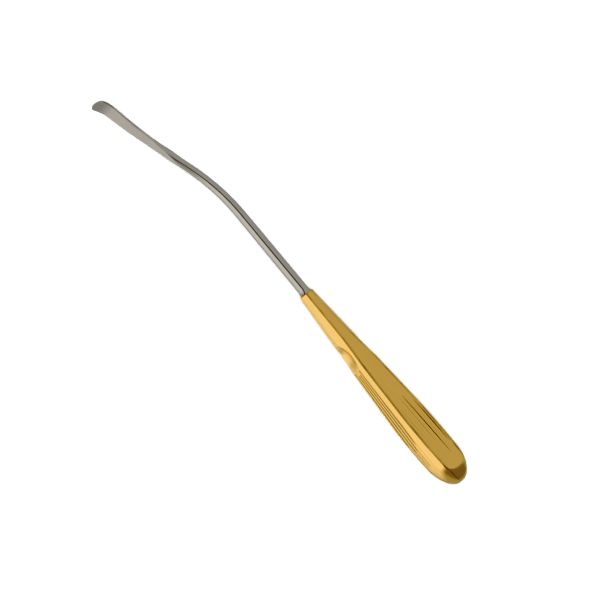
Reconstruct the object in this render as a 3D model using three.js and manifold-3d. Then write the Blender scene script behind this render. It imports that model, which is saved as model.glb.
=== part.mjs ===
// Long curved surgical elevator with a faceted, reeded handle. Millimetres, +Z up.
//
// The working end is one steel forging: a blunt blade, a bent shaft, a bolster and a tang.
// The handle is two gilt brass halves, brazed together along a level parting plane, and two
// cross pins in that plane lock the tang. A plug closes the vent bore in the pommel.
//
// Shapes are worked out on the handle's own axis: x is 0 at the handle's front face and grows
// towards the pommel, y runs across the broad flats and z is square to them. One group then
// moves everything so that the origin is on the surface below the middle of the instrument,
// which lies on the handle's lower broad flat.

import * as THREE from 'three';
import { mergeVertices } from 'three/addons/utils/BufferGeometryUtils.js';
import Module from 'manifold-3d';

const wasm = await Module();
wasm.setup();

// ---------------------------------------------------------------- driving dimensions

// Handle: three profiles of the octagonal section, each straight between its bends.
const HANDLE_LENGTH = 116.2;
const NECK_END = 36;              // the slender neck grows faster than the grip behind it
const NECK_FRONT_THICK = 2.75;    // half thickness over the broad flats at the front face
const NECK_END_THICK = 4.5;       // and where the neck ends
const GRIP_THICK_RATE = 0.0305;   // growth of the half thickness per millimetre of grip
const NECK_FRONT_WIDE = 4.05;     // half width over the narrow sides at the front face
const SCALLOP = { start: 28.5, low: 35, end: 44, edge: 6.3, floor: 5.1, rear: 6.6 };
const GRIP_WIDE = { x: 92, half: 9.35 };               // the grip is parallel behind this
const CHAMFER_REACH = [[0, 4.65], [27, 7.06], [43, 9.38], [77, 12.4], [92, 13.05]];
const FRONT_BREAK = 0.3;          // broken edge round the front face

// Pommel: each profile closes in a quarter ellipse from its own start to the end of the handle.
// It is dressed further forward below than above.
const DOME_START = {
  wide: 100,
  above: { thick: 109.1, reach: 103.4 },
  below: { thick: 100, reach: 98.5 },
};

// Reeds: rounded ridges ground along the narrow sides.
const REEDS = { start: 44, end: 104.5, fade: 2, depth: 0.3 };
const REED_VALLEYS = [0.265, 0.794];   // as fractions of the side's half height
const REED_CRESTS = [0, 0.529, 1];

// Hollow of the handle, tang, pins and vent plug. The hollow ends well before the pommel, which
// stays solid: its weight lets the instrument lie steady on the flat and the edge of the blade.
const CAVITY = { start: 42, end: 78, wall: 2.0 };
const TANG = { radius: 1.8, length: 46, tip: 0.4 };
const TANG_PIN = { radius: 0.75, places: { front: 12, rear: 30 }, lengths: { front: 6.4, rear: 7.6 } };
const VENT_PLUG = { radius: 1.25, start: 106.5 };
const FIT_GAP = 0.05;             // all-round clearance of each brazed or pressed piece

// Working end: the centre line, from the handle's front to the tip, as lengths and turns.
const PATH = [
  { length: 48.3, turn: 0 },      // straight shaft in line with the handle
  { length: 32.8, turn: 20 },     // the long bend
  { length: 18.6, turn: 0 },      // neck of the blade
  { length: 28.2, turn: -6.6 },   // blade, eased back towards the handle's line
  { length: 10.0, turn: 33.6 },   // turned-in end
];

// Sections along that line. round is the forged round or oval across the blade's face, flat is
// half the thickness left between the two ground flats, and wide is half the width.
const SECTIONS = [
  { at: 0, round: 3.5, flat: 3.5, wide: 2.45 },
  { at: 0.9, round: 3.15, flat: 3.15, wide: 2.45 },
  { at: 2.4, round: 2.62, flat: 2.62, wide: 2.62 },
  { at: 20, round: 2.58, flat: 2.58, wide: 2.58 },
  { at: 48.3, round: 2.43, flat: 2.43, wide: 2.43 },
  { at: 65, round: 2.26, flat: 2.26, wide: 2.26 },
  { at: 80, round: 2.14, flat: 2.14, wide: 2.14 },
  { at: 91, round: 2.05, flat: 2.05, wide: 2.05 },
  { at: 93.4, round: 2.5, flat: 1.2, wide: 2.35 },
  { at: 100.6, round: 2.4, flat: 1.0, wide: 2.56 },
  { at: 104.6, round: 1.8, flat: 0.56, wide: 3.2 },
  { at: 111.5, round: 1.6, flat: 0.5, wide: 3.65 },
  { at: 123.5, round: 1.5, flat: 0.5, wide: 4.4 },
  { at: 129.4, round: 1.4, flat: 0.5, wide: 4.7 },
  { at: 132.4, round: 1.2, flat: 0.48, wide: 5.2 },
  { at: 135, round: 1.1, flat: 0.42, wide: 5.7 },
];
const TIP_LENGTH = 2.9;           // the end of the blade is half an ellipse
const TIP_EDGE = 0.3;             // half thickness of the blunt edge
const FLAT_HALF_ANGLE = 35;       // the part of each ring that a ground flat can take, in degrees
const FLAT_STEPS = 4;
const EDGE_STEPS = 4;
const RING_SPACING = 3.2;

const STEEL = new THREE.MeshStandardMaterial({ color: 0x9b968f, roughness: 0.32, metalness: 1 });
const GILT_BRASS = new THREE.MeshStandardMaterial({ color: 0xc79a3c, roughness: 0.22, metalness: 1 });
const PIN_STEEL = new THREE.MeshStandardMaterial({ color: 0x8d8d8d, roughness: 0.4, metalness: 1 });

// ---------------------------------------------------------------- solids

// Straight interpolation in a list of [place, value] pairs, held constant past both ends.
function along(pairs, place) {
  const next = pairs.findIndex(([at]) => at > place);
  if (next === 0) return pairs[0][1];
  if (next < 0) return pairs.at(-1)[1];
  const [lowAt, low] = pairs[next - 1];
  const [highAt, high] = pairs[next];
  return THREE.MathUtils.lerp(low, high, (place - lowAt) / (highAt - lowAt));
}

// A closed skin over rings of equal point count, all running anticlockwise seen from +X.
function loft(rings) {
  const count = rings[0].length;
  const total = (ring) => ring.reduce((sum, point) => sum.add(point), new THREE.Vector3());
  const middle = (ring) => total(ring).divideScalar(count);
  const points = [...rings.flat(), middle(rings[0]), middle(rings.at(-1))];
  const startMiddle = points.length - 2;
  const endMiddle = points.length - 1;
  const lastRing = (rings.length - 1) * count;
  const triangles = [];
  for (let i = 0; i < count; i += 1) {
    const j = (i + 1) % count;
    triangles.push(startMiddle, j, i);
    triangles.push(endMiddle, lastRing + i, lastRing + j);
    for (let base = 0; base < lastRing; base += count) {
      triangles.push(base + i, base + j, base + count + j);
      triangles.push(base + i, base + count + j, base + count + i);
    }
  }
  const geometry = new THREE.BufferGeometry().setFromPoints(points);
  geometry.setIndex(triangles);
  return geometry;
}

// A boolean solid from any closed geometry.
function solid(source) {
  const bare = source.clone();
  bare.deleteAttribute('normal');
  bare.deleteAttribute('uv');
  const geometry = mergeVertices(bare);
  const vertProperties = new Float32Array(geometry.attributes.position.array);
  const triVerts = new Uint32Array(geometry.index.array);
  return new wasm.Manifold(new wasm.Mesh({ numProp: 3, vertProperties, triVerts }));
}

// And back to a named mesh.
function meshOf(name, body, material) {
  const { vertProperties, triVerts } = body.getMesh();
  const geometry = new THREE.BufferGeometry();
  geometry.setAttribute('position', new THREE.BufferAttribute(vertProperties, 3));
  geometry.setIndex(new THREE.BufferAttribute(triVerts, 1));
  geometry.computeVertexNormals();
  const mesh = new THREE.Mesh(geometry, material);
  mesh.name = name;
  return mesh;
}

// A round bar along the handle's axis, from one x to another.
function barAlong(radius, from, to) {
  const bar = new THREE.CylinderGeometry(radius, radius, to - from, 24);
  bar.rotateZ(Math.PI / 2);
  bar.translate((from + to) / 2, 0, 0);
  return bar;
}

// A round bar across the handle at x, in the parting plane.
function barAcross(radius, x, length) {
  const bar = new THREE.CylinderGeometry(radius, radius, length, 20);
  bar.translate(x, 0, 0);
  return bar;
}

// ---------------------------------------------------------------- handle

// How far a profile has closed in its quarter ellipse at x: 1 before the dome, 0 at the end.
function domeScale(x, start) {
  const share = Math.max(0, x - start) / (HANDLE_LENGTH - start);
  return Math.sqrt(Math.max(0, 1 - share * share));
}

// Distance from the axis to a broad flat, above or below.
function halfThickness(x, side) {
  const neckRate = (NECK_END_THICK - NECK_FRONT_THICK) / NECK_END;
  const neck = NECK_FRONT_THICK + neckRate * x;
  const grip = NECK_END_THICK + GRIP_THICK_RATE * (x - NECK_END);
  return Math.min(neck, grip) * domeScale(x, DOME_START[side].thick);
}

// Distance from the axis to the narrow sides, with the finger scallop ground into them.
function halfWidth(x) {
  const { start, low, end, edge, floor, rear } = SCALLOP;
  const share = x < low ? (low - x) / (low - start) : (x - low) / (end - low);
  const rise = 1 - Math.cos(share * Math.PI / 2);
  const profiles = [
    [start, () => THREE.MathUtils.lerp(NECK_FRONT_WIDE, edge, x / start)],
    [low, () => floor + (edge - floor) * rise],
    [end, () => floor + (rear - floor) * rise],
    [Infinity, () => along([[end, rear], [GRIP_WIDE.x, GRIP_WIDE.half]], x)],
  ];
  const [, profile] = profiles.find(([limit]) => x <= limit);
  return profile() * domeScale(x, DOME_START.wide);
}

// y + z on the 45 degree chamfers, above or below.
function chamferReach(x, side) {
  return along(CHAMFER_REACH, x) * domeScale(x, DOME_START[side].reach);
}

// Depth of the valleys between the reeds at x.
function reedDepth(x) {
  const run = Math.min(x - REEDS.start, REEDS.end - x) / REEDS.fade;
  return REEDS.depth * THREE.MathUtils.clamp(run, 0, 1);
}

// A quarter of the octagonal section at x, from the parting plane to the broad flat's edge, as
// [y, z] pairs, drawn in by inset all round.
function quarterSection(x, side, inset) {
  const thick = halfThickness(x, side) - inset;
  const wide = halfWidth(x) - inset;
  const reach = chamferReach(x, side) - inset * Math.SQRT2;
  const valley = wide - reedDepth(x);
  const crests = REED_CRESTS.map((share) => [share, wide]);
  const valleys = REED_VALLEYS.map((share) => [share, valley]);
  const reeds = [...crests, ...valleys].sort(([a], [b]) => a - b).map(([share, y]) => [y, share * (reach - wide)]);
  return [...reeds, [reach - thick, thick]];
}

// The whole section at x, anticlockwise from the middle of the +Y side.
function handleRing(x, inset = 0) {
  const above = quarterSection(x, 'above', inset);
  const below = quarterSection(x, 'below', inset).slice(1).map(([y, z]) => [y, -z]);
  const opposite = (points) => points.map(([y, z]) => [-y, z]);
  const outline = [...above, ...opposite(above).toReversed(), ...opposite(below), ...below.toReversed()];
  return outline.map(([y, z]) => new THREE.Vector3(x, y, z));
}

function handleOutside() {
  const { start, low, end } = SCALLOP;
  const scallop = [start, 30.5, 33, low, 37.5, 40, 42, end];
  const grip = [REEDS.start + REEDS.fade, 55, 73, GRIP_WIDE.x, DOME_START.wide];
  const reedEnds = [REEDS.end - REEDS.fade, REEDS.end];
  const dome = [106, 107.6, DOME_START.above.thick, 111, 112.7, 114.2, 115.3, 115.95];
  const rings = [handleRing(0, FRONT_BREAK)];
  for (const x of [FRONT_BREAK, 14, 27, ...scallop, ...grip, ...reedEnds, ...dome]) rings.push(handleRing(x));
  return loft(rings);
}

function handleHollow() {
  const { start, end, wall } = CAVITY;
  return loft([start, 55, 66, end].map((x) => handleRing(x, wall)));
}

// One half of the handle: side is +1 above the parting plane and -1 below it.
function handleHalf(outside, side) {
  const block = new THREE.BoxGeometry(2 * HANDLE_LENGTH, HANDLE_LENGTH, HANDLE_LENGTH);
  block.translate(HANDLE_LENGTH / 2, 0, side * HANDLE_LENGTH / 2);
  let half = outside.intersect(solid(block)).subtract(solid(handleHollow()));
  half = half.subtract(solid(barAlong(TANG.radius + FIT_GAP, -1, CAVITY.start + 1)));
  half = half.subtract(solid(barAlong(VENT_PLUG.radius + FIT_GAP, CAVITY.end - 1, HANDLE_LENGTH + 1)));
  for (const place of ['front', 'rear']) {
    const length = TANG_PIN.lengths[place] + 2 * FIT_GAP;
    half = half.subtract(solid(barAcross(TANG_PIN.radius + FIT_GAP, TANG_PIN.places[place], length)));
  }
  return half;
}

// The plug is ground flush with the pommel.
function ventPlug(outside) {
  return outside.intersect(solid(barAlong(VENT_PLUG.radius, VENT_PLUG.start, HANDLE_LENGTH + 1)));
}

// ---------------------------------------------------------------- working end

// Centre and heading of the working end at a distance from the handle, along its centre line.
function pathFrame(distance) {
  let x = 0;
  let y = 0;
  let heading = 0;
  let left = distance;
  for (const { length, turn } of PATH) {
    const run = Math.min(left, length);
    const bend = THREE.MathUtils.degToRad(turn) * run / length;
    const chord = bend === 0 ? run : 2 * (run / bend) * Math.sin(bend / 2);
    x -= chord * Math.cos(heading + bend / 2);
    y -= chord * Math.sin(heading + bend / 2);
    heading += bend;
    left -= run;
  }
  const across = new THREE.Vector3(-Math.sin(heading), Math.cos(heading), 0);
  return { centre: new THREE.Vector3(x, y, 0), across };
}

// An oval section with a flat ground on each face, as [across, up] pairs.
function blankSection({ round, flat, wide }) {
  const edgeAngle = Math.max(THREE.MathUtils.degToRad(FLAT_HALF_ANGLE), Math.acos(Math.min(1, flat / round)));
  const angles = [];
  for (let i = 0; i < FLAT_STEPS; i += 1) angles.push(edgeAngle * (2 * i / FLAT_STEPS - 1));
  for (let i = 0; i < EDGE_STEPS; i += 1) angles.push(edgeAngle + (Math.PI - 2 * edgeAngle) * i / EDGE_STEPS);
  const half = angles.map((a) => [Math.min(flat, round * Math.cos(a)), wide * Math.sin(a)]);
  return [...half, ...half.map(([across, up]) => [-across, -up])];
}

function workingRing(distance, section) {
  const { centre, across } = pathFrame(distance);
  return blankSection(section).map(([u, v]) => centre.clone().addScaledVector(across, u).setZ(v));
}

// The section at any distance, from the list above, closing in half an ellipse at the tip.
function sectionAt(distance) {
  const read = (key) => along(SECTIONS.map((section) => [section.at, section[key]]), distance);
  const tipShare = Math.max(0, distance - SECTIONS.at(-1).at) / TIP_LENGTH;
  const closing = Math.sqrt(1 - tipShare * tipShare);
  const flat = THREE.MathUtils.lerp(read('flat'), TIP_EDGE, tipShare);
  return { round: read('round'), flat, wide: read('wide') * closing };
}

function workingEnd() {
  const bladeEnd = SECTIONS.at(-1).at;
  const places = new Set(SECTIONS.map(({ at }) => at));
  const bendStart = PATH[0].length;
  for (let at = bendStart; at < bladeEnd; at += RING_SPACING) places.add(at);
  for (const share of [0.3, 0.55, 0.75, 0.9, 0.98]) places.add(bladeEnd + share * TIP_LENGTH);
  const rings = [...places].sort((a, b) => b - a).map((at) => workingRing(at, sectionAt(at)));
  const tangSection = { round: TANG.radius, flat: TANG.radius, wide: TANG.radius };
  const tipRadius = TANG.radius - TANG.tip;
  const tangTip = { round: tipRadius, flat: tipRadius, wide: tipRadius };
  const tang = [[0, tangSection], [TANG.length - TANG.tip, tangSection], [TANG.length, tangTip]];
  for (const [x, section] of tang) {
    rings.push(blankSection(section).map(([y, z]) => new THREE.Vector3(x, y, z)));
  }
  let body = solid(loft(rings));
  for (const x of Object.values(TANG_PIN.places)) {
    body = body.subtract(solid(barAcross(TANG_PIN.radius + FIT_GAP, x, 4 * TANG.radius)));
  }
  return body;
}

// ---------------------------------------------------------------- assembly

const group = new THREE.Group();
const outside = solid(handleOutside());
group.add(meshOf('working_end', workingEnd(), STEEL));
group.add(meshOf('handle_top_shell', handleHalf(outside, 1), GILT_BRASS));
group.add(meshOf('handle_bottom_shell', handleHalf(outside, -1), GILT_BRASS));
group.add(meshOf('vent_plug', ventPlug(outside), GILT_BRASS));
for (const [place, x] of Object.entries(TANG_PIN.places)) {
  const pin = solid(barAcross(TANG_PIN.radius, x, TANG_PIN.lengths[place]));
  group.add(meshOf(`tang_pin_${place}`, pin, PIN_STEEL));
}

const extent = new THREE.Box3().setFromObject(group);
const middle = extent.getCenter(new THREE.Vector3());
group.position.set(-middle.x, -middle.y, -extent.min.z);

export default group;
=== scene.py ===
"""Looks of the curved surgical elevator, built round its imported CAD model.

Shapes are worked out in millimetres on the handle's own axis, as in the CAD source: x is 0 at the
handle's front face and grows towards the pommel, y runs across the broad flats, z is square to
them. on_frame() then puts every point where the CAD model has it, in metres.
"""

import math

import bpy
import numpy as np
from mathutils import Matrix, Vector


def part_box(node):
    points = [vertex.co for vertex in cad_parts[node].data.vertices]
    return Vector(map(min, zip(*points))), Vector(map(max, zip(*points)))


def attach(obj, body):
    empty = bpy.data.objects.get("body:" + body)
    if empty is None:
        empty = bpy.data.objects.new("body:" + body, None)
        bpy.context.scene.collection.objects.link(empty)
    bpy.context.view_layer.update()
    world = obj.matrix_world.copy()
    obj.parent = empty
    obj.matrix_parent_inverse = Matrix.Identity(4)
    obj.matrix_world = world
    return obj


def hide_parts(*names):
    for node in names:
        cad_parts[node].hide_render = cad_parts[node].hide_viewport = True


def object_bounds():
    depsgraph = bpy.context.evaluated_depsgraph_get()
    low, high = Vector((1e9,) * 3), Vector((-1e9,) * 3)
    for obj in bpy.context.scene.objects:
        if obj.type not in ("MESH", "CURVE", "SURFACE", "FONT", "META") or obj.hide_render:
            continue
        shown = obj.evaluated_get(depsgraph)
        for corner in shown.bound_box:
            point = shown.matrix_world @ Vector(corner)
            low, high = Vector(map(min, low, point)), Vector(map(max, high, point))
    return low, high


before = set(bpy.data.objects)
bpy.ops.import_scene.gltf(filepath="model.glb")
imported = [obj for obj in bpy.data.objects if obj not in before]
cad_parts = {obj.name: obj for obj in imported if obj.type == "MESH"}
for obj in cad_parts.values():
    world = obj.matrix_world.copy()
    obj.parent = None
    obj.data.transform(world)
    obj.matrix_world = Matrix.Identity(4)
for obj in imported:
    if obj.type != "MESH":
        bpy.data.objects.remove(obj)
cad_low, cad_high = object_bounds()

# ---------------------------------------------------------------- places, from the frame

MM = 0.001
shell_low, shell_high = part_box("handle_top_shell")
HANDLE_FRONT = Vector((shell_low.x, (shell_low.y + shell_high.y) / 2, shell_low.z))
FLOOR_HEIGHT = cad_low.z

# ---------------------------------------------------------------- driving sizes, millimetres

HANDLE_LENGTH = 116.2
HANDLE_END = 115.9                # the two halves stop here, round the vent plug
NECK_END = 36
NECK_FRONT_THICK = 2.75
NECK_END_THICK = 4.5
GRIP_THICK_RATE = 0.0305
NECK_FRONT_WIDE = 4.05
SCALLOP = {"start": 28.5, "low": 35, "end": 44, "edge": 6.3, "floor": 5.1, "rear": 6.6}
GRIP_WIDE = {"x": 92, "half": 9.35}
CHAMFER_REACH = [(0, 4.65), (27, 7.06), (43, 9.38), (77, 12.4), (92, 13.05)]
FRONT_BREAK = 0.25                # rounded edge round the handle's front face

# The pommel's dome is a rounded block of its own, which cuts off the flats, chamfers and reeds.
# It closes in quarter ellipses, and its section is a squared oval.
DOME_WIDE_START = 100
DOME = {1: {"flat_end": 109.1, "start": 100}, -1: {"flat_end": 100, "start": 84}}
DOME_SQUARENESS = 2.8
DOME_BLEND = 0.02                 # rounding of the line where it cuts, as a share of the radius
LOW_EDGE_RADIUS = 0.35            # of the edges between the chamfers and the narrow sides
HIGH_EDGE_RADIUS = 1.0            # of the edges between the chamfers and the broad flats

REEDS = {"start": 44, "rim": 3, "fade": 4, "crown": 0.1, "pitch": 0.529}
REED_GROOVES = {"places": (0.265, 0.794), "half_width": 0.065, "depth": 0.28}   # between the reeds
SCALLOP_HOLLOW = 1.0              # the scallop is deepest in its middle

# Each flute of a broad flat: share of the flat's half width at both ends, x of both ends, depth,
# and slope of its walls.
FLUTES = [
    (0.22, 0.27, 66, 102, 0.2, 0.78),
    (0.82, 0.82, 71, 97, 0.2, 0.78),
    (0.51, 0.51, 78, 97, 0.05, 0.35),
    (-0.13, -0.13, 62, 94, 0.05, 0.35),
    (-0.43, -0.43, 52, 98, 0.04, 0.3),
    (-0.73, -0.73, 60, 92, 0.04, 0.3),
]
LEAST_FLUTE_REACH = 0.03          # half width of a flute where it runs out
CROWN = 0.06                      # the flats are slightly proud in their middle
SEAM = 0.03                       # depth and half width of the hairline where the halves meet

# How much painted shade the gilding takes, of 1: a dark brown that stands in for the dark
# reflections along its edges and the shade in its flutes. It lies across the low edges, from the
# chamfer to the flat over the high edges, beside them on the flat, and the depth of flute that takes
# it fully.
PAINTED_SHADE = {"low_edge": 0.2, "high_edge": (0.1, 1), "flat": 0.5, "flute_depth": 0.1}

BORE = 1.85                       # hole for the tang
CAVITY = {"start": 42, "end": 78, "wall": 2.0}
VENT_BORE = 1.3
VENT_RIM = 0.12                   # least metal left round the vent at the end of the dome
VENT_PLUG = {"start": 106.5, "straight": 107, "radius": 1.25, "dome": 0.05, "corner": 0.05}
PLUG_GRAIN = 4                    # how fast its polishing marks change from the middle outwards
PIN_SLOT = 0.8                    # radius of the slots for the cross pins
PIN_PLACES = {12: 3.25, 30: 3.85}  # x of each pin, and half the length of its slot

PATH = [(48.3, 0), (32.8, 20), (18.6, 0), (28.2, -6.6), (10.0, 33.6)]   # lengths and turns
BOLSTER = {"length": 3.4, "round": 3.5, "wide": 2.45, "shaft": 2.62, "flare": 2.2}
SECTIONS = [                      # place, then half sizes: round or oval, ground flat, width
    (3.4, 2.62, 2.62, 2.62),
    (20, 2.58, 2.58, 2.58),
    (48.3, 2.43, 2.43, 2.43),
    (65, 2.26, 2.26, 2.26),
    (80, 2.14, 2.14, 2.14),
    (88.5, 2.06, 2.06, 2.06),
    (93.4, 2.45, 1.65, 2.3),
    (97.5, 2.45, 1.15, 2.45),
    (100.6, 2.4, 1.0, 2.56),
    (104.6, 1.8, 0.56, 3.2),
    (111.5, 1.6, 0.5, 3.65),
    (123.5, 1.5, 0.5, 4.4),
    (129.4, 1.4, 0.5, 4.7),
    (132.4, 1.2, 0.48, 5.2),
    (135, 1.1, 0.42, 5.7),
]
TIP = {"start": 135, "length": 2.9, "edge": 0.3}
FLAT_HALF_ANGLE = 35              # degrees of a ring, to either side, that are a flat's at least
SECTION_EASE = 2.0                # sections change over this much of the path, not in a line
TANG = {"radius": 1.8, "length": 46, "chamfer": 0.4}

# ---------------------------------------------------------------- fineness of the meshes

SHARP_ANGLE = 35                  # edges turned by more are shaded sharp, in degrees
CORNER_POINTS = 7                 # on each rounded edge of the handle
SIDE_STRIPS = (0.06, 0.48, 0.53, 0.58, 0.97)          # shares of the narrow side's half height
GROOVE_STRIPS = (-1.15, -1, -0.5, 0, 0.5, 1, 1.15)    # of a reed groove's half width
CHAMFER_STRIPS = np.linspace(0.08, 0.92, 6)           # of the chamfer's width
FLAT_STRIPS = (0.97, 0.88, 0.58, 0.29, 0.0)           # of the flat's half width
FLUTE_STRIPS = (-1.5, -1, -0.5, 0, 0.5, 1, 1.5)       # of a flute's half width

# Rings of the handle: first, last and step, in millimetres.
PLAIN_RINGS = (2, 96, 1.5)
DOME_START_RINGS = (96, 104, 0.5)
SCALLOP_RINGS = (SCALLOP["start"], SCALLOP["end"] + 3, 0.5)
DOME_TURNS = np.radians(np.linspace(14, 74, 44))      # round the dome's quarter ellipse
PIN_SLOT_RINGS = 9
FLUTE_END_RINGS = (0, 0.1, 0.5)   # from both ends of each flute
HOLLOW_STEP = 0.01                # between the two rings where the hollow starts or ends
PLUG_RINGS = 6                    # on its straight part
PLUG_DOME_SHARES = np.linspace(1, 0.04, 10)           # of its radius
PLUG_TURNS = np.linspace(0, 2 * math.pi, 48, endpoint=False)

# Rings of the working end.
SHAFT_STEP = 1.1
RUN_OUT_RINGS = (90, 95, 0.25)
BLADE_RINGS = (99, TIP["start"], 0.6)
TIP_TURNS = np.radians(np.linspace(0, 88, 16))
BOLSTER_SHARES = np.linspace(0, 1, 10) ** 1.3
PLACE_DIGITS = 4                  # rings that round to the same place are one
FLAT_POINTS, BRINK_POINTS = 13, 15
BESIDE_EDGE = 1.5                 # degrees from an edge to the points next to it

# ---------------------------------------------------------------- mesh helpers


def on_frame(points):
    """Points in the handle's millimetres, in the frame's metres."""
    return np.asarray(points, float) * MM + np.array(HANDLE_FRONT)


def add_piece(name, points, faces, material, grain, edge):
    """A smooth-shaded mesh that rides on the instrument. grain places its polishing lines, and
    edge is how far each point takes its edge colour, of 1, which on the gilding is painted shade."""
    mesh = bpy.data.meshes.new(name)
    mesh.from_pydata(on_frame(points).tolist(), [], faces)
    mesh.validate()
    mesh.shade_smooth()
    mesh.set_sharp_from_angle(angle=math.radians(SHARP_ANGLE))
    grain_marks = mesh.attributes.new("grain", "FLOAT_VECTOR", "POINT")
    grain_marks.data.foreach_set("vector", np.asarray(grain, np.float32).ravel())
    edge_marks = mesh.attributes.new("edge", "FLOAT", "POINT")
    edge_marks.data.foreach_set("value", np.asarray(edge, np.float32))
    mesh.materials.append(material)
    piece = bpy.data.objects.new(name, mesh)
    bpy.context.scene.collection.objects.link(piece)
    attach(piece, "root")
    return piece


def loft_faces(rings, count):
    """Quads between rings of count points, which close on themselves."""
    faces = []
    for ring in range(rings - 1):
        for i in range(count):
            j = (i + 1) % count
            low, high = ring * count, (ring + 1) * count
            faces.append((low + i, low + j, high + j, high + i))
    return faces


def around(outline):
    """Distance along an outline of points, from its first."""
    steps = np.linalg.norm(np.diff(outline, axis=0), axis=1)
    return np.concatenate([[0], np.cumsum(steps)])


def smooth_step(value, low, high):
    """0 up to low, 1 from high, and eased between them."""
    share = np.clip((value - low) / (high - low), 0, 1)
    return share * share * (3 - 2 * share)


# ---------------------------------------------------------------- handle


def quarter_ellipse(x, start):
    """1 at start, closing to 0 at the end of the handle."""
    share = max(0.0, x - start) / (HANDLE_LENGTH - start)
    return math.sqrt(max(0.0, 1 - share * share))


def flat_height(x):
    """From the parting plane to the broad flat."""
    neck = NECK_FRONT_THICK + (NECK_END_THICK - NECK_FRONT_THICK) * x / NECK_END
    return min(neck, NECK_END_THICK + GRIP_THICK_RATE * (x - NECK_END))


def half_width(x):
    """From the axis to the narrow sides, with the finger scallop ground into them."""
    s = SCALLOP
    if x <= s["start"]:
        return NECK_FRONT_WIDE + (s["edge"] - NECK_FRONT_WIDE) * x / s["start"]
    if x > s["end"]:
        return np.interp(x, [s["end"], GRIP_WIDE["x"]], [s["rear"], GRIP_WIDE["half"]])
    reach, top = (s["start"], s["edge"]) if x <= s["low"] else (s["end"], s["rear"])
    share = (x - s["low"]) / (reach - s["low"])
    return s["floor"] + (top - s["floor"]) * (1 - math.cos(share * math.pi / 2))


def chamfer_reach(x):
    """y + z on the 45 degree chamfers."""
    return np.interp(x, *zip(*CHAMFER_REACH))


def side_cut(x, share):
    """Depth of the grooves between the reeds and of the scallop's hollow, at share of the side's
    half height."""
    start = REEDS["start"] - REEDS["rim"] * share**2
    grown = smooth_step(x, start, start + REEDS["fade"])
    reeds = REEDS["crown"] * (1 - abs(math.cos(math.pi * share / REEDS["pitch"])))
    for place in REED_GROOVES["places"]:
        offset = abs(share - place) / REED_GROOVES["half_width"]
        reeds += REED_GROOVES["depth"] * max(0, 1 - offset)
    along = np.clip((x - SCALLOP["start"]) / (SCALLOP["end"] - SCALLOP["start"]), 0, 1)
    return grown * reeds + SCALLOP_HOLLOW * math.sin(math.pi * along) ** 2 * (1 - share**2)


def flute_points(x, half, hand):
    """Across a flat at x, from its edge to its middle: distance from the middle, and depth. Each
    flute is a V that runs out to nothing at both ends."""
    points = [(half * share, 0.0) for share in FLAT_STRIPS]
    for first, last, start, end, deep, slope in FLUTES:
        if first * hand < 0:
            continue
        along = np.clip((x - start) / (end - start), 0, 1)
        centre = half * abs(first + (last - first) * along)
        depth = deep * math.sin(math.pi * along) ** 0.5
        reach = max(depth / slope, LEAST_FLUTE_REACH)
        for strip in FLUTE_STRIPS:
            points.append((centre + reach * strip, depth * max(0, 1 - abs(strip))))
    return sorted(points, reverse=True)


def rounded_corner(corner, start_angle, radius):
    """An arc that turns 45 degrees inside a corner, and how far it reaches back along each side."""
    middle = start_angle + math.pi / 8
    outwards = np.array([math.cos(middle), math.sin(middle)])
    centre = np.array(corner) - radius / math.cos(math.pi / 8) * outwards
    angles = start_angle + math.pi / 4 * np.linspace(0, 1, CORNER_POINTS)
    arc = centre + radius * np.column_stack([np.cos(angles), np.sin(angles)])
    return arc, radius * math.tan(math.pi / 8)


def dome_share(points, x, side):
    """How far each point of a section stays out, of 1, once the pommel's dome has cut it."""
    dome = DOME[side]
    full = flat_height(dome["flat_end"]) / quarter_ellipse(dome["flat_end"], dome["start"])
    sizes = np.array([
        GRIP_WIDE["half"] * quarter_ellipse(x, DOME_WIDE_START),
        full * quarter_ellipse(x, dome["start"]),
    ])
    beyond = 1 - np.sum(np.abs(points / sizes) ** DOME_SQUARENESS, axis=1) ** (-1 / DOME_SQUARENESS)
    return 1 - (beyond + np.sqrt(beyond**2 + DOME_BLEND**2)) / 2


def side_shares():
    """Where the narrow side is cut into strips, close together across each groove."""
    across = np.array(GROOVE_STRIPS) * REED_GROOVES["half_width"]
    grooves = [place + across for place in REED_GROOVES["places"]]
    return np.sort(np.concatenate([*grooves, SIDE_STRIPS]))


def quarter_outline(x, side, hand):
    """The outside at x, from the parting plane to the middle of the broad flat, as y and z above the
    parting plane, and how much painted shade each point takes. hand is 1 on the +Y side and -1 on
    the other."""
    thick, wide, reach = flat_height(x), half_width(x), chamfer_reach(x)
    low_arc, low_back = rounded_corner((wide, reach - wide), 0, LOW_EDGE_RADIUS)
    high_arc, high_back = rounded_corner((reach - thick, thick), math.pi / 4, HIGH_EDGE_RADIUS)
    height = reach - wide
    sides = [(wide - side_cut(x, 0) - SEAM, 0), (wide - side_cut(x, 0), SEAM)]
    for share in side_shares():
        z = share * (height - low_back)
        sides.append((wide - side_cut(x, share), z))
    strips = CHAMFER_STRIPS[:, None]
    chamfer = low_arc[-1] * (1 - strips) + high_arc[0] * strips
    half = reach - thick - high_back
    flutes = flute_points(x, half, hand)
    tops = [(y, thick - CROWN * (y / half) ** 2 - depth) for y, depth in flutes]
    high_arc = high_arc - [[0, CROWN]] * np.linspace(0, 1, len(high_arc))[:, None]
    points = np.concatenate([sides, low_arc, chamfer, high_arc, tops])
    points *= dome_share(points, x, side)[:, None]
    points *= np.maximum(1, (VENT_BORE + VENT_RIM) / np.linalg.norm(points, axis=1))[:, None]
    # painted shade: dark brown on the edges and in the flutes, for their dark reflections and shade
    painted_shade = [
        np.zeros(len(sides)),
        np.full(len(low_arc), PAINTED_SHADE["low_edge"]),
        np.zeros(len(chamfer)),
        np.linspace(*PAINTED_SHADE["high_edge"], len(high_arc)),
        [PAINTED_SHADE["flat"]] + [min(1, depth / PAINTED_SHADE["flute_depth"]) for _, depth in flutes[1:]],
    ]
    return points, np.concatenate(painted_shade)


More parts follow.
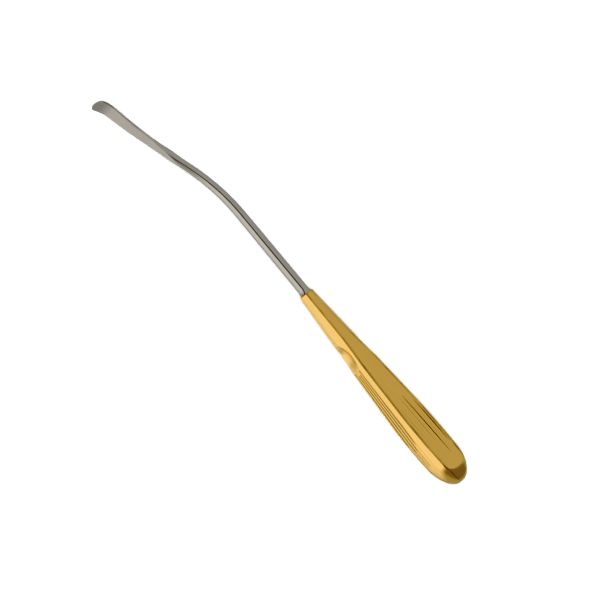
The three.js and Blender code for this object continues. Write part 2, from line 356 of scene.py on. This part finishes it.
def half_outline(x, side, inset):
    """The outside of one half, from the +Y side over its broad flat to the -Y side, drawn in by
    inset, and how much painted shade each point takes."""
    right, painted_shade = quarter_outline(x, side, 1)
    left, _ = quarter_outline(x, side, -1)
    points = np.concatenate([right, (left * [-1, 1])[-2::-1]])
    if inset:
        lengths = np.linalg.norm(points, axis=1, keepdims=True)
        points = points * (1 - inset / lengths)
        points[[0, -1], 1] = 0
    return points, np.concatenate([painted_shade, painted_shade[-2::-1]])


def hollow_radius(x, angle):
    """From the axis to the inside, at x and an angle from +Y: bore, pin slots, hollow or vent."""
    across, up = abs(math.cos(angle)), math.sin(angle)
    if CAVITY["start"] < x < CAVITY["end"]:
        wall = CAVITY["wall"]
        thick, wide = flat_height(x) - wall, half_width(x) - wall
        reach = chamfer_reach(x) - wall * math.sqrt(2)
        return min(wide / max(across, 1e-6), thick / max(up, 1e-6), reach / (across + up))
    radius = BORE if x <= CAVITY["start"] else VENT_BORE
    for place, half_length in PIN_PLACES.items():
        half_height = math.sqrt(max(0.0, PIN_SLOT**2 - (x - place) ** 2))
        if half_height:
            slot = min(half_length / max(across, 1e-6), half_height / max(up, 1e-6))
            radius = max(radius, slot)
    return radius


def handle_places():
    """Where the handle's rings stand, and how far each is drawn in: close together where the shape
    changes."""
    places = {FRONT_BREAK, HANDLE_END}
    for rings in (PLAIN_RINGS, SCALLOP_RINGS, DOME_START_RINGS):
        places.update(np.arange(*rings))
    places.update(DOME_WIDE_START + (HANDLE_LENGTH - DOME_WIDE_START) * np.sin(DOME_TURNS))
    for x in PIN_PLACES:
        places.update(x + PIN_SLOT * np.linspace(-1, 1, PIN_SLOT_RINGS))
    for _, _, start, end, _, _ in FLUTES:
        for inwards in FLUTE_END_RINGS:
            places.update([start + inwards, end - inwards])
    for x in (CAVITY["start"], CAVITY["end"]):
        places.update([x, x + HOLLOW_STEP])
    front = [
        (FRONT_BREAK * (1 - math.sin(t)), FRONT_BREAK * (1 - math.cos(t)))
        for t in np.radians([90, 60, 30])
    ]
    return front + [(x, 0.0) for x in sorted(places) if x <= HANDLE_END]


def handle_half(name, node, side, material):
    """One half of the handle, above the parting plane for side 1 and below it for -1."""
    rings, grain, edge = [], [], []
    for x, inset in handle_places():
        outside, painted_shade = half_outline(x, side, inset)
        angles = np.linspace(0, math.pi, len(outside))
        inside = [hollow_radius(x, a) * np.array([math.cos(a), math.sin(a)]) for a in angles]
        ring = np.concatenate([outside, inside[::-1]])
        rings.append(np.column_stack([np.full(len(ring), x), ring[:, 0], side * ring[:, 1]]))
        run = np.concatenate([around(outside), around(inside)])
        grain.append(np.column_stack([np.full(len(ring), x), run, np.full(len(ring), side)]))
        edge.append(np.concatenate([painted_shade, np.zeros(len(inside))]))
    count = len(rings[0])
    faces = loft_faces(len(rings), count)
    last = (len(rings) - 1) * count
    for i in range(count // 2 - 1):
        j = count - 1 - i
        faces.append((i, j, j - 1, i + 1))
        faces.append((last + i, last + i + 1, last + j - 1, last + j))
    if side < 0:
        faces = [face[::-1] for face in faces]
    points, grain, edge = np.concatenate(rings), np.concatenate(grain), np.concatenate(edge)
    piece = add_piece(name, points, faces, material, grain, edge)
    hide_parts(node)


def vent_plug(material):
    """A turned plug, domed to follow the pommel, in the hole that the two halves leave."""
    start, radius, corner = VENT_PLUG["start"], VENT_PLUG["radius"], VENT_PLUG["corner"]
    profile = [(start, radius - corner), (start + corner, radius)]
    straight = np.linspace(VENT_PLUG["straight"], HANDLE_END - corner, PLUG_RINGS)
    profile += [(x, radius) for x in straight]
    for share in PLUG_DOME_SHARES:
        x = HANDLE_END + VENT_PLUG["dome"] * (1 - share**2)
        profile.append((x, (radius - corner) * share))
    points = [(x, r * math.cos(t), r * math.sin(t)) for x, r in profile for t in PLUG_TURNS]
    rings, count = len(profile), len(PLUG_TURNS)
    faces = loft_faces(rings, count)
    faces.append(tuple(range(count))[::-1])
    faces.append(tuple(range((rings - 1) * count, rings * count)))
    grain = [(r * PLUG_GRAIN, t, 0) for _, r in profile for t in PLUG_TURNS]
    piece = add_piece("pommel_vent_plug", points, faces, material, grain, np.zeros(len(points)))
    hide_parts("vent_plug")


# ---------------------------------------------------------------- working end


def path_frame(distance):
    """Centre of the working end, and the direction across its ground flats, that far from the
    handle along its centre line."""
    x = y = heading = 0.0
    for length, turn in PATH:
        run = min(max(distance, 0), length)
        bend = math.radians(turn) * run / length
        chord = run if bend == 0 else 2 * run / bend * math.sin(bend / 2)
        x -= chord * math.cos(heading + bend / 2)
        y -= chord * math.sin(heading + bend / 2)
        heading += bend
        distance -= run
    return np.array([x, y, 0.0]), np.array([-math.sin(heading), math.cos(heading), 0.0])


def section_at(distance):
    """Half sizes of the working end: round or oval, ground flat, width."""
    if distance < BOLSTER["length"]:
        share = (1 - distance / BOLSTER["length"]) ** BOLSTER["flare"]
        shaft = BOLSTER["shaft"]
        tall = shaft + (BOLSTER["round"] - shaft) * share
        return tall, tall, shaft + (BOLSTER["wide"] - shaft) * share
    table = np.array(SECTIONS)
    spread = distance + SECTION_EASE * np.linspace(-1, 1, 5)
    sizes = [np.interp(spread, table[:, 0], column).mean() for column in table[:, 1:].T]
    beyond = max(0.0, distance - TIP["start"]) / TIP["length"]
    if beyond:
        sizes[1] += (TIP["edge"] - sizes[1]) * beyond
        sizes[2] *= math.sqrt(max(0.0, 1 - beyond**2))
    return tuple(sizes)


def blank_outline(tall, flat, wide):
    """An oval with a flat ground on each face, as (across, up), and 1 for points on the edges."""
    edge = max(math.radians(FLAT_HALF_ANGLE), math.acos(min(1, flat / tall)))
    beside = math.radians(BESIDE_EDGE)
    face = np.linspace(-edge + beside, edge - beside, FLAT_POINTS)
    brink = np.linspace(edge + beside, math.pi - edge - beside, BRINK_POINTS)
    half = np.concatenate([[-edge], face, [edge], brink])
    on_edge = np.isin(half, [-edge, edge]).astype(float) * (flat < tall)
    angles = np.concatenate([half, half + math.pi])
    across = np.clip(tall * np.cos(angles), -flat, flat)
    return np.column_stack([across, wide * np.sin(angles)]), np.concatenate([on_edge, on_edge])


def working_places():
    """Distances of the rings from the tip to the handle, close together where the shape changes."""
    places = set(np.arange(BOLSTER["length"], TIP["start"], SHAFT_STEP))
    places.update(BOLSTER["length"] * BOLSTER_SHARES)
    places.update(np.arange(*RUN_OUT_RINGS))
    places.update(np.arange(*BLADE_RINGS))
    places.update(TIP["start"] + TIP["length"] * np.sin(TIP_TURNS))
    return sorted({round(place, PLACE_DIGITS) for place in places}, reverse=True)


def working_end(material):
    """Blade, shaft, bolster and tang, in one loft from the tip to the end of the tang."""
    points, grain, edge = [], [], []
    for distance in working_places():
        centre, across = path_frame(distance)
        outline, on_edge = blank_outline(*section_at(distance))
        points.append([centre + u * across + [0, 0, v] for u, v in outline])
        run = around(outline)
        grain.append(np.column_stack([np.full(len(run), distance), run, np.zeros(len(run))]))
        edge.append(on_edge)
    radius, length, chamfer = TANG["radius"], TANG["length"], TANG["chamfer"]
    for x, size in [(0, radius), (length - chamfer, radius), (length, radius - chamfer)]:
        outline, _ = blank_outline(size, size, size)
        plain = np.zeros(len(outline))
        points.append([(x, u, v) for u, v in outline])
        grain.append(np.column_stack([plain - x, around(outline), plain]))
        edge.append(plain)
    count = len(points[0])
    faces = loft_faces(len(points), count)
    faces.append(tuple(range(count))[::-1])
    faces.append(tuple(range((len(points) - 1) * count, len(points) * count)))
    points, grain, edge = np.concatenate(points), np.concatenate(grain), np.concatenate(edge)
    piece = add_piece("steel_working_end", points, faces, material, grain, edge)
    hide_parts("working_end")


# ---------------------------------------------------------------- materials


class Nodes:
    """Short way to add and join shader nodes."""

    def __init__(self, tree):
        self.tree = tree
        tree.nodes.clear()

    def add(self, kind, links=None, settings=None, **values):
        node = self.tree.nodes.new(kind)
        for name, value in (settings or {}).items():
            setattr(node, name, value)
        for name, value in values.items():
            node.inputs[name.replace("_", " ")].default_value = value
        for name, source in (links or {}).items():
            self.tree.links.new(source, node.inputs[name])
        return node


# Noises: scale, detail, and the range of the noise that is spread over 0 to 1. LINES and SCRATCHES
# are scaled along the piece, round it, and between the two halves, in cycles per millimetre. CLOUDS
# and PITS are scaled along X, Y and Z, in cycles per metre.
LINES = {"stretch": (0.12, 9, 1), "detail": 4, "low": 0.3, "high": 0.7}
SCRATCHES = {"stretch": (0.35, 5, 3), "detail": 2, "low": 0.69, "high": 0.75}
CLOUDS = {"stretch": (90, 160, 160), "detail": 3, "low": 0.3, "high": 0.7}
PITS = {"stretch": (2600, 2600, 2600), "detail": 2, "low": 0.35, "high": 0.65}
NOISE_ROUGHNESS = 0.6
ROUGHNESS_SPREAD = (0.75, 1.3)    # least and most, of a metal's roughness
SCRATCH_ROUGHNESS = 0.15          # added in a scratch
SCRATCH_DEPTH = 2                 # of the depth of the polishing lines


def marks(nodes, source, stretch, detail, low, high):
    """A stretched noise, spread so that low gives 0 and high gives 1."""
    mapping = nodes.add("ShaderNodeMapping", {"Vector": source}, Scale=stretch)
    noise = nodes.add(
        "ShaderNodeTexNoise",
        {"Vector": mapping.outputs[0]},
        Scale=1.0,
        Detail=detail,
        Roughness=NOISE_ROUGHNESS,
    )
    spread = nodes.add(
        "ShaderNodeMapRange", {"Value": noise.outputs["Fac"]}, From_Min=low, From_Max=high
    )
    return spread.outputs["Result"]


def bump(nodes, height, depth, below=None, invert=False):
    """Relief of depth millimetres, on top of the one below."""
    links = {"Height": height}
    if below:
        links["Normal"] = below
    node = nodes.add(
        "ShaderNodeBump", links, {"invert": invert}, Strength=1.0, Distance=depth * MM
    )
    return node.outputs[0]


def metal(name, colour, edge_colour, cloud_colour, roughness, line_depth, pit_depth):
    """Polished metal with lengthwise polishing lines, a few hairline scratches, clouds of a second
    colour, and edges painted another colour: on the gilding a dark brown that is painted shade and
    painted dark reflection, on the steel a paler colour. Depths are in millimetres."""
    material = bpy.data.materials.new(name)
    material.use_nodes = True
    nodes = Nodes(material.node_tree)
    grain = nodes.add("ShaderNodeAttribute", settings={"attribute_name": "grain"}).outputs["Vector"]
    edge = nodes.add("ShaderNodeAttribute", settings={"attribute_name": "edge"}).outputs["Fac"]
    place = nodes.add("ShaderNodeTexCoord").outputs["Object"]

    lines = marks(nodes, grain, **LINES)
    scratches = marks(nodes, grain, **SCRATCHES)
    clouds = marks(nodes, place, **CLOUDS)
    pits = marks(nodes, place, **PITS)

    mix = {"data_type": "RGBA"}
    tint = nodes.add("ShaderNodeMix", {"Factor": clouds}, mix)
    tint.inputs["A"].default_value = (*cloud_colour, 1)
    tint.inputs["B"].default_value = (*colour, 1)
    # the painted edge colour, strongest where the clouds are: painted shade on the gilding
    edging = nodes.add("ShaderNodeMath", {0: edge, 1: clouds}, {"operation": "MULTIPLY"})
    edged = nodes.add("ShaderNodeMix", {"Factor": edging.outputs[0], "A": tint.outputs["Result"]}, mix)
    edged.inputs["B"].default_value = (*edge_colour, 1)

    uneven = nodes.add("ShaderNodeMath", {0: lines, 1: clouds}, {"operation": "ADD"})
    least, most = ROUGHNESS_SPREAD
    rough = nodes.add(
        "ShaderNodeMapRange",
        {"Value": uneven.outputs[0]},
        From_Max=2.0,
        To_Min=roughness * least,
        To_Max=roughness * most,
    )
    scuffed = nodes.add(
        "ShaderNodeMath", {0: scratches, 2: rough.outputs["Result"]}, {"operation": "MULTIPLY_ADD"}
    )
    scuffed.inputs[1].default_value = SCRATCH_ROUGHNESS

    relief = bump(nodes, lines, line_depth)
    relief = bump(nodes, scratches, SCRATCH_DEPTH * line_depth, relief, invert=True)
    relief = bump(nodes, pits, pit_depth, relief)
    shader = nodes.add(
        "ShaderNodeBsdfPrincipled",
        {"Base Color": edged.outputs["Result"], "Roughness": scuffed.outputs[0], "Normal": relief},
        Metallic=1.0,
    )
    nodes.add("ShaderNodeOutputMaterial", {"Surface": shader.outputs[0]})
    return material


def gilt():
    return metal(
        "gilt_brass",
        colour=(0.93, 0.68, 0.32),
        # dark brown painted onto the edges and into the flutes: painted shade and painted dark
        # reflection
        edge_colour=(0.34, 0.2, 0.06),
        cloud_colour=(0.91, 0.66, 0.31),
        roughness=0.11,
        line_depth=0.001,
        pit_depth=0.00005,
    )


def steel():
    return metal(
        "satin_steel",
        colour=(0.64, 0.607, 0.56),
        edge_colour=(0.7, 0.67, 0.63),
        cloud_colour=(0.6, 0.568, 0.52),
        roughness=0.15,
        line_depth=0.001,
        pit_depth=0.0003,
    )


def pin_steel():
    return metal(
        "pin_steel",
        colour=(0.4, 0.4, 0.4),
        edge_colour=(0.5, 0.5, 0.5),
        cloud_colour=(0.32, 0.32, 0.32),
        roughness=0.4,
        line_depth=0.001,
        pit_depth=0.001,
    )


# ---------------------------------------------------------------- stage, light and camera

# Degrees for the angles, millimetres for the lens, the sensor and the width of the view.
VIEW = {"elevation": 55, "roll": 50.4, "lens": 1000, "sensor": 36, "width": 285.6}
AIM = Vector((0.5, -3.5, -2.5))   # from the handle's front, in millimetres
FLOOR = {"half": 3.0, "colour": (0.84, 0.84, 0.83, 1)}         # half its side, in metres
FILL = {"energy": 4.5, "angle": 40}                            # of a sun, which is wide and so soft


def floor():
    """A pale floor with a faint grain."""
    material = bpy.data.materials.new("pale_floor")
    material.use_nodes = True
    nodes = Nodes(material.node_tree)
    place = nodes.add("ShaderNodeTexCoord").outputs["Object"]
    fibre = nodes.add("ShaderNodeTexNoise", {"Vector": place}, Scale=900.0, Detail=2.0)
    relief = nodes.add(
        "ShaderNodeBump", {"Height": fibre.outputs["Fac"]}, Strength=0.2, Distance=0.02 * MM
    )
    shader = nodes.add(
        "ShaderNodeBsdfPrincipled",
        {"Normal": relief.outputs[0]},
        Roughness=0.85,
        Specular_IOR_Level=0.1,
    )
    shader.inputs["Base Color"].default_value = FLOOR["colour"]
    nodes.add("ShaderNodeOutputMaterial", {"Surface": shader.outputs[0]})
    half = FLOOR["half"]
    mesh = bpy.data.meshes.new("floor")
    corners = [(-half, -half), (half, -half), (half, half), (-half, half)]
    mesh.from_pydata([(x, y, FLOOR_HEIGHT) for x, y in corners], [], [(0, 1, 2, 3)])
    mesh.materials.append(material)
    plane = bpy.data.objects.new("floor", mesh)
    bpy.context.scene.collection.objects.link(plane)
    plane.visible_glossy = False      # the light tent stands for it in the metal's reflections


# Brightness of the light tent round the handle's axis: degrees from overhead, towards the front.
# The gap between its back wall and its front light is dark, and so is the shade under the object.
TENT = [
    (-180, 0.4), (-150, 0.58), (-125, 0.68), (-71, 0.62), (-39, 0.67), (8, 0.7), (20, 0.68), (25, 0.2),
    (45, 0.2), (49, 1.03), (95, 1.05), (115, 1.0), (145, 0.92), (160, 0.74), (180, 0.4),
]

# The tent's end walls take over between these shares of X. They have one brightness below the
# lower height and another above the upper one.
END_WALLS = {"start": 0.3, "end": 0.6, "lower": -0.3, "foot": 0.56, "upper": 0.1, "bright": 0.36}


def light_tent():
    """The world's light, which the metal mirrors: TENT round the handle's axis, closed along X by
    END_WALLS."""
    world = bpy.data.worlds.new("light_tent")
    bpy.context.scene.world = world
    world.use_nodes = True
    nodes = Nodes(world.node_tree)
    direction = nodes.add("ShaderNodeTexCoord").outputs["Generated"]
    parts = nodes.add("ShaderNodeSeparateXYZ", {"Vector": direction}).outputs
    front = nodes.add("ShaderNodeMath", {0: parts["Y"]}, {"operation": "MULTIPLY"})
    front.inputs[1].default_value = -1
    angle = nodes.add("ShaderNodeMath", {0: front.outputs[0], 1: parts["Z"]}, {"operation": "ARCTAN2"})
    share = nodes.add(
        "ShaderNodeMapRange", {"Value": angle.outputs[0]}, From_Min=-math.pi, From_Max=math.pi
    )
    ramp = nodes.add("ShaderNodeValToRGB", {"Fac": share.outputs["Result"]})
    while len(ramp.color_ramp.elements) < len(TENT):
        ramp.color_ramp.elements.new(0.5)
    for stop, (degrees, level) in zip(ramp.color_ramp.elements, TENT):
        stop.position = (degrees + 180) / 360
        stop.color = (level, level, level, 1)
    wall = nodes.add(
        "ShaderNodeMapRange",
        {"Value": parts["Z"]},
        From_Min=END_WALLS["lower"],
        From_Max=END_WALLS["upper"],
        To_Min=END_WALLS["foot"],
        To_Max=END_WALLS["bright"],
    )
    sideways = nodes.add("ShaderNodeMath", {0: parts["X"]}, {"operation": "ABSOLUTE"})
    ends = nodes.add(
        "ShaderNodeMapRange",
        {"Value": sideways.outputs[0]},
        {"interpolation_type": "SMOOTHSTEP"},
        From_Min=END_WALLS["start"],
        From_Max=END_WALLS["end"],
    )
    mixed = nodes.add(
        "ShaderNodeMix",
        {"Factor": ends.outputs["Result"], "A": ramp.outputs["Color"], "B": wall.outputs["Result"]},
        {"data_type": "RGBA"},
    )
    background = nodes.add("ShaderNodeBackground", {"Color": mixed.outputs["Result"]})
    nodes.add("ShaderNodeOutputWorld", {"Surface": background.outputs[0]})


def camera_turn():
    """The camera's rotation: rolled about its line of sight, then tilted from straight down to its
    elevation."""
    elevation, roll = math.radians(VIEW["elevation"]), math.radians(VIEW["roll"])
    return Matrix.Rotation(math.pi / 2 - elevation, 3, "X") @ Matrix.Rotation(roll, 3, "Z")


def camera():
    """A far camera with a long lens, because the photograph shows next to no perspective."""
    lens = bpy.data.cameras.new("camera")
    lens.lens, lens.sensor_width = VIEW["lens"], VIEW["sensor"]
    eye = bpy.data.objects.new("camera", lens)
    bpy.context.scene.collection.objects.link(eye)
    distance = VIEW["width"] * VIEW["lens"] / VIEW["sensor"]
    turn = camera_turn()
    eye.matrix_world = turn.to_4x4()
    eye.location = HANDLE_FRONT + (AIM + distance * turn.col[2]) * MM
    bpy.context.scene.camera = eye


def fill_light():
    """Soft light from the camera's side, which whitens the floor. The metal doesn't mirror it."""
    lamp = bpy.data.lights.new("fill", "SUN")
    lamp.energy, lamp.angle = FILL["energy"], math.radians(FILL["angle"])
    sun = bpy.data.objects.new("fill", lamp)
    sun.matrix_world = camera_turn().to_4x4()
    sun.visible_glossy = False
    bpy.context.scene.collection.objects.link(sun)


# Contrast of the picture: brightness in the scene, and in the picture, both linear.
CONTRAST = [(0.13, 0.011), (0.2, 0.044), (0.33, 0.18), (0.47, 0.315), (0.67, 0.56)]
COMBINED_CURVE = 3                # after the ones for red, green and blue


def film():
    """A contrasty picture in which dark gold looks brown and bright gold looks pale."""
    look = bpy.context.scene.view_settings
    look.view_transform = "Standard"
    look.use_curve_mapping = True
    for bright, shown in CONTRAST:
        look.curve_mapping.curves[COMBINED_CURVE].points.new(bright, shown)
    look.curve_mapping.update()


# ---------------------------------------------------------------- assembly

gold = gilt()
handle_half("handle_upper_half", "handle_top_shell", 1, gold)
handle_half("handle_lower_half", "handle_bottom_shell", -1, gold)
vent_plug(gold)
working_end(steel())
pin_metal = pin_steel()
for pin in ("tang_pin_front", "tang_pin_rear"):
    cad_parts[pin].data.materials.clear()
    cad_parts[pin].data.materials.append(pin_metal)

floor()
light_tent()
fill_light()
camera()
film()
